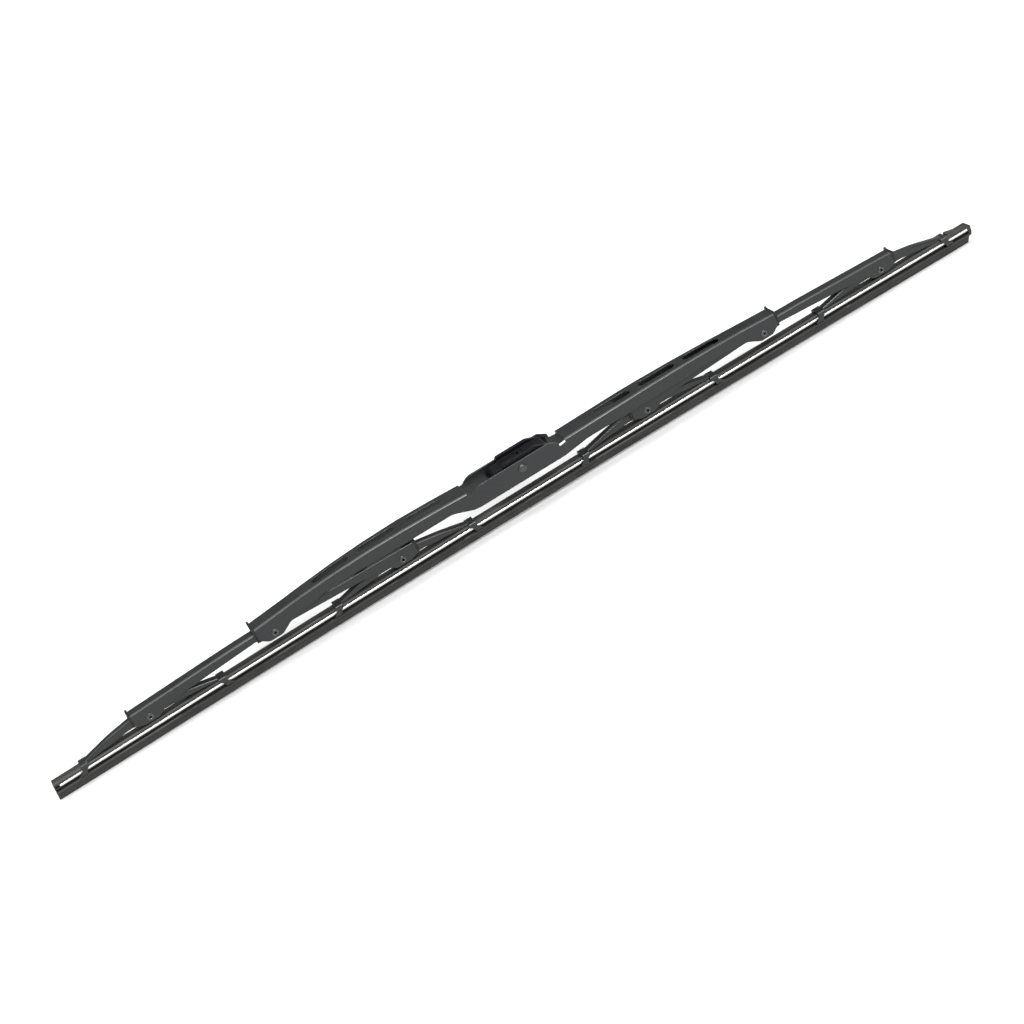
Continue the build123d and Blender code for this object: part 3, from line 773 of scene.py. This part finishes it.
@dataclass
class WipingElement:
    """The rubber and its two backing strips, made in stretches; those held straight follow their yokes, and
    the others stay where they are cut.

    Attributes:
        rubber: The rubber's node.
        strips: The backing strips' nodes.
        hold: How far past its pivot a yoke keeps the element straight, in metres.
        flex: The length over which the element would turn from a yoke to its lever; it only sets the bending
            stretches' ends.
        middle_start: Where the middle stretch would follow its lever alone, so that it meets the inner claw;
            it only sets that stretch's start and end.
        middle_flex: The length over which the middle would turn from a lever to the bridge, lying level at x
            = 0; it only sets that stretch's end.
        claw_reach: From an inner yoke's pivot to its inner claw.
        pitch: The spacing of the cuts along a stretch that bends.
        lap: How far a stretch's tongue reaches into the next one.
        tongue_inset: How much smaller the tongue is all round.
        crease: The angle above which an edge is shaded sharp, in degrees.
    """

    rubber: str = "wiper_rubber"
    strips: tuple[str, str] = ("backing_strip_front", "backing_strip_back")
    hold: float = 0.008
    flex: float = 0.178
    middle_start: float = 0.1162
    middle_flex: float = 0.2973
    claw_reach: float = 0.04275
    pitch: float = 0.004
    lap: float = 0.002
    tongue_inset: float = 0.00004
    crease: float = 30.0

    def build(self, wardrobe: Wardrobe) -> None:
        """Makes, dresses and hangs every stretch of the rubber and the strips.

        Args:
            wardrobe: The materials.
        """
        low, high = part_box(self.rubber)
        middle = blade_middle()
        reach = max(high.x - middle, middle - low.x)
        stock = [(self.rubber, Slot.RUBBER), *((strip, Slot.STRIP_STEEL) for strip in self.strips)]
        for node, slot in stock:
            for side in Side:
                for stretch in self.stretches(middle, reach):
                    piece = self.cut(node, side, stretch, middle)
                    wardrobe.dress_piece(piece, slot)
                    self.hang(piece, side, stretch, middle)
                    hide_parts(node)

    def stretches(self, middle: float, reach: float) -> list[Stretch]:
        """Divides half of the element, from the frame's joints.

        Args:
            middle: The middle's place along X.
            reach: How far the element's longer half reaches from the middle.

        Returns:
            The stretches, from the tip to the middle.
        """
        pivots = {joint["name"]: abs(joint["pos_m"][0] - middle) for joint in frame["joints"]}
        lever = pivots["lever_right_rock"]
        outer = pivots["yoke_outer_right_rock"] - self.hold
        inner = pivots["yoke_inner_right_rock"] + self.hold
        claw = pivots["yoke_inner_right_rock"] - self.claw_reach
        return [
            Stretch("tip", outer, reach + self.pitch, Carrier.OUTER_YOKE),
            Stretch("outer", lever, outer, Carrier.OUTER_YOKE, Carrier.LEVER, outer, outer - self.flex),
            Stretch("inner", inner, lever, Carrier.INNER_YOKE, Carrier.LEVER, inner, inner + self.flex),
            Stretch("held", claw, inner, Carrier.INNER_YOKE),
            Stretch(
                "middle",
                0.0,
                claw,
                Carrier.LEVER,
                Carrier.BRIDGE,
                self.middle_start,
                self.middle_start - self.middle_flex,
            ),
        ]

    def cut(self, node: str, side: Side, stretch: Stretch, middle: float) -> bpy.types.Object:
        """Cuts one stretch out of a node's form.

        Args:
            node: The node.
            side: The half of the blade.
            stretch: The stretch.
            middle: The middle's place along X.

        Returns:
            The stretch as a new object.
        """
        outward = Vector((float(side.value), 0.0, 0.0))
        near = Vector((middle, 0.0, 0.0)) + outward * stretch.near
        far = Vector((middle, 0.0, 0.0)) + outward * stretch.far
        shape = self.slab(node, near, far, outward)
        if stretch.other is not None:
            count = math.ceil((stretch.far - stretch.near) / self.pitch)
            for step in range(1, count):
                self.score(shape, near.lerp(far, step / count), outward)
        self.add_tongue(shape, node, near, outward)
        bmesh.ops.recalc_face_normals(shape, faces=shape.faces)
        mesh = bpy.data.meshes.new(f"{node}_{side.word}_{stretch.name}")
        shape.to_mesh(mesh)
        shape.free()
        mesh.polygons.foreach_set("use_smooth", [True] * len(mesh.polygons))
        mesh.set_sharp_from_angle(angle=math.radians(self.crease))
        piece = bpy.data.objects.new(mesh.name, mesh)
        bpy.context.scene.collection.objects.link(piece)
        return piece

    def slab(self, node: str, near: Vector, far: Vector, outward: Vector) -> bmesh.types.BMesh:
        """Cuts a node's form down to the length between two planes.

        Args:
            node: The node.
            near: A point on the plane nearer the middle.
            far: A point on the plane nearer the tip.
            outward: The direction from the middle to the tip.

        Returns:
            The closed length.
        """
        shape = bmesh.new()
        shape.from_mesh(frame["nodes"][node].data)
        bmesh.ops.remove_doubles(shape, verts=shape.verts, dist=MERGE_DISTANCE)
        self.trim(shape, near, -outward)
        self.trim(shape, far, outward)
        return shape

    def add_tongue(self, shape: bmesh.types.BMesh, node: str, near: Vector, outward: Vector) -> None:
        """Adds a tongue inside the next stretch, which fills the seam when the two part.

        Args:
            shape: The stretch.
            node: The node that the stretch is cut from.
            near: A point on the stretch's plane nearer the middle.
            outward: The direction from the middle to the tip.
        """
        tongue = self.slab(node, near - outward * self.lap, near, outward)
        bmesh.ops.recalc_face_normals(tongue, faces=tongue.faces)
        tongue.normal_update()
        for vert in tongue.verts:
            vert.co -= Vector((0.0, vert.normal.y, vert.normal.z)) * self.tongue_inset
        spare = bpy.data.meshes.new("tongue")
        tongue.to_mesh(spare)
        tongue.free()
        shape.from_mesh(spare)
        bpy.data.meshes.remove(spare)

    @staticmethod
    def trim(shape: bmesh.types.BMesh, point: Vector, away: Vector) -> None:
        """Cuts off and closes what lies beyond a plane.

        Args:
            shape: The mesh to cut.
            point: A point on the plane.
            away: The direction of what goes.
        """
        everything = [*shape.verts, *shape.edges, *shape.faces]
        made = bmesh.ops.bisect_plane(
            shape, geom=everything, dist=CUT_DISTANCE, plane_co=point, plane_no=away, clear_outer=True
        )
        rim = [item for item in made["geom_cut"] if isinstance(item, bmesh.types.BMEdge)]
        if rim:
            bmesh.ops.edgenet_fill(shape, edges=rim)

    @staticmethod
    def score(shape: bmesh.types.BMesh, point: Vector, across: Vector) -> None:
        """Adds a ring of edges where a plane meets the mesh.

        Args:
            shape: The mesh to cut.
            point: A point on the plane.
            across: The plane's normal.
        """
        everything = [*shape.verts, *shape.edges, *shape.faces]
        bmesh.ops.bisect_plane(shape, geom=everything, dist=CUT_DISTANCE, plane_co=point, plane_no=across)

    @staticmethod
    def hang(piece: bpy.types.Object, side: Side, stretch: Stretch, middle: float) -> None:
        """Hangs a stretch that is held straight on its holder's body; a stretch that would bend is baked in
        place on no body.

        Args:
            piece: The stretch's object.
            side: The half of the blade.
            stretch: The stretch.
            middle: The middle's place along X; not used.
        """
        holder = stretch.holder.body(side)
        if stretch.other is None:
            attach(piece, holder)
            return
        stretch.other.body(side)
        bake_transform(piece)


@dataclass(frozen=True)
class Lamp:
    """A round light, so far off that it lights all of the floor alike.

    Attributes:
        name: The light's name.
        strength: The light's strength.
        width: Its width as seen from the floor, in degrees.
        tilt: Its lean from straight overhead towards the blade's front, in degrees.
        swing: Its turn from the front towards the right end, in degrees.
    """

    name: str
    strength: float
    width: float
    tilt: float
    swing: float

    def hang(self) -> None:
        """Makes the light."""
        lamp = bpy.data.lights.new(self.name, "SUN")
        lamp.energy = self.strength
        lamp.angle = math.radians(self.width)
        hung = bpy.data.objects.new(self.name, lamp)
        hung.rotation_euler.x = math.radians(self.tilt)
        hung.rotation_euler.z = math.radians(self.swing)
        bpy.context.scene.collection.objects.link(hung)


@dataclass
class Studio:
    """A pale floor under soft light, and the camera.

    Attributes:
        pin_height: The cross pin's height over the lip's middle, in metres.
        floor_half: Half of the floor's side, in metres.
        floor_colour: The floor's colour.
        floor_roughness: The floor's roughness.
        lamps: The lights.
        sky_start: The rise of direction above which the surrounding light brightens.
        sky_low: The surrounding light's least strength, between the horizon's glow and overhead.
        sky_high: The surrounding light's strength overhead.
        glow: The strength of the glow along the horizon.
        glow_span: The rises of direction over which the glow fades out.
        elevation: The camera's height above the horizon, in degrees.
        yaw: How far the camera looks towards the right end, in degrees.
        roll: How far the picture is turned, in degrees.
        distance: From the camera to the lip's middle, in metres.
        lens: The camera's focal length, in millimetres.
        sensor: The width of the camera's sensor, in millimetres.
        nearest: The nearest that the camera sees, in metres.
        aim: How far the lip's middle lies right of and above the picture's middle, in degrees.
    """

    pin_height: float = 0.0275
    floor_half: float = 12.0
    floor_colour: Colour = (0.66, 0.66, 0.66)
    floor_roughness: float = 0.9
    lamps: tuple[Lamp, ...] = (
        Lamp(name="overhead", strength=2.3, width=60.0, tilt=0.0, swing=0.0),
        Lamp(name="front", strength=3.6, width=22.0, tilt=48.0, swing=12.0),
    )
    sky_start: float = 0.45
    sky_low: float = 0.1
    sky_high: float = 1.3
    glow: float = 1.0
    glow_span: Span = (0.08, 0.2)
    elevation: float = 28.5
    yaw: float = 9.61
    roll: float = 31.54
    distance: float = 1.146
    lens: float = 72.5
    sensor: float = 36.0
    nearest: float = 0.01
    aim: tuple[float, float] = (0.638, 0.229)

    def build(self) -> None:
        """Makes the floor, the lights and the camera."""
        self.lay_floor(cad_box[0].z)
        for lamp in self.lamps:
            lamp.hang()
        self.fill_sky()
        self.set_camera(Vector((blade_middle(), 0.0, -self.pin_height)))
        bpy.context.scene.view_settings.view_transform = "Standard"

    def lay_floor(self, height: float) -> None:
        """Lays the floor.

        Args:
            height: The floor's height.
        """
        reach = self.floor_half
        plan = [(-reach, -reach), (reach, -reach), (reach, reach), (-reach, reach)]
        corners = [(x, y, height) for x, y in plan]
        mesh = bpy.data.meshes.new("floor")
        mesh.from_pydata(corners, [], [(0, 1, 2, 3)])
        paper = bpy.data.materials.new("floor_paper")
        paper.use_nodes = True
        shader = paper.node_tree.nodes["Principled BSDF"]
        shader.inputs["Base Color"].default_value = (*self.floor_colour, 1.0)
        shader.inputs["Roughness"].default_value = self.floor_roughness
        shader.inputs["Specular IOR Level"].default_value = 0.0
        mesh.materials.append(paper)
        floor = bpy.data.objects.new("floor", mesh)
        bpy.context.scene.collection.objects.link(floor)

    def fill_sky(self) -> None:
        """Surrounds the scene with white that brightens overhead and along the horizon."""
        world = bpy.data.worlds.new("studio")
        world.use_nodes = True
        bench = Bench(world.node_tree)
        place = bench.add("ShaderNodeTexCoord")
        parts = bench.add("ShaderNodeSeparateXYZ")
        bench.join(place.outputs["Generated"], parts.inputs["Vector"])
        overhead = bench.spread(parts.outputs["Z"], (self.sky_start, 1.0), (self.sky_low, self.sky_high))
        horizon = bench.spread(parts.outputs["Z"], self.glow_span, (self.glow, self.sky_low))
        strength = bench.reckon("MAXIMUM", overhead, horizon)
        background = world.node_tree.nodes["Background"]
        background.inputs["Color"].default_value = (1.0, 1.0, 1.0, 1.0)
        bench.join(strength, background.inputs["Strength"])
        bpy.context.scene.world = world

    def set_camera(self, target: Vector) -> None:
        """Places the camera at the photograph's angle.

        Args:
            target: The lip's middle.
        """
        tilt = math.radians(self.elevation)
        turn = math.radians(self.yaw)
        level = Vector((0.0, math.cos(tilt), -math.sin(tilt)))
        along = Vector((1.0, 0.0, 0.0))
        forward = level * math.cos(turn) + along * math.sin(turn)
        right = along * math.cos(turn) - level * math.sin(turn)
        up = right.cross(forward)
        basis = Matrix((right, up, -forward)).transposed().to_4x4()
        spin = Matrix.Rotation(-math.radians(self.roll), 4, "Z")
        swing = Matrix.Rotation(math.radians(self.aim[0]), 4, "Y")
        nod = Matrix.Rotation(-math.radians(self.aim[1]), 4, "X")
        lens = bpy.data.cameras.new("camera")
        lens.lens = self.lens
        lens.sensor_width = self.sensor
        lens.clip_start = self.nearest
        camera = bpy.data.objects.new("camera", lens)
        stand = Matrix.Translation(target - forward * self.distance)
        camera.matrix_world = stand @ basis @ spin @ swing @ nod
        bpy.context.scene.collection.objects.link(camera)
        bpy.context.scene.camera = camera


def finishes() -> list[Finish]:
    """The blade's finishes.

    Returns:
        One finish for each slot.
    """
    return [
        SheetPaint(
            slot=Slot.FRAME_PAINT,
            colour=(0.009, 0.0097, 0.0103),
            roughness=(0.25, 0.33),
            mottle=(0.0122, 0.0131, 0.0137),
            # Edge colour: partly thinner coat, partly painted highlight.
            rubbed=(0.07, 0.072, 0.075),
            dust=(0.08, 0.079, 0.075),
            gloss=0.4,
            edge=0.0005,
        ),
        EyeletZinc(
            slot=Slot.ZINC,
            colour=(0.065, 0.067, 0.067),
            roughness=(0.28, 0.42),
            # Rim colour: partly zinc polished by rubbing, partly painted highlight.
            bright=(0.6, 0.6, 0.59),
            metal=0.85,
            edge=0.0003,
        ),
        MouldedPlastic(
            slot=Slot.LINER_PLASTIC,
            colour=(0.008, 0.008, 0.009),
            roughness=(0.5, 0.62),
            scuffed=(0.02, 0.02, 0.022),
            gloss=0.3,
            edge=0.0001,
        ),
        MouldedPlastic(
            slot=Slot.ADAPTER_PLASTIC,
            colour=(0.0032, 0.0032, 0.0046),
            roughness=(0.36, 0.48),
            scuffed=(0.05, 0.05, 0.056),
            gloss=0.15,
            edge=0.0004,
        ),
        WipingRubber(
            slot=Slot.RUBBER,
            colour=(0.011, 0.011, 0.0103),
            roughness=(0.46, 0.6),
            bloom=(0.023, 0.023, 0.0215),
            bloom_span=(0.3, 0.75),
            gloss=0.42,
        ),
        RolledSteel(
            slot=Slot.STRIP_STEEL,
            colour=(0.76, 0.76, 0.75),
            roughness=(0.28, 0.4),
            dull=(0.62, 0.62, 0.61),
            dull_span=(0.45, 0.8),
        ),
    ]


def main() -> None:
    """Dresses the blade, builds its wiping element and sets up the studio."""
    logging.basicConfig(level=logging.INFO, format="%(name)s: %(message)s")
    wardrobe = Wardrobe(finishes())
    Bridge().dress(wardrobe)
    for side in Side:
        LeverTree(side).dress(wardrobe)
    Adapter().dress(wardrobe)
    WipingElement().build(wardrobe)
    Studio().build()


if __name__ == "__main__":
    main()
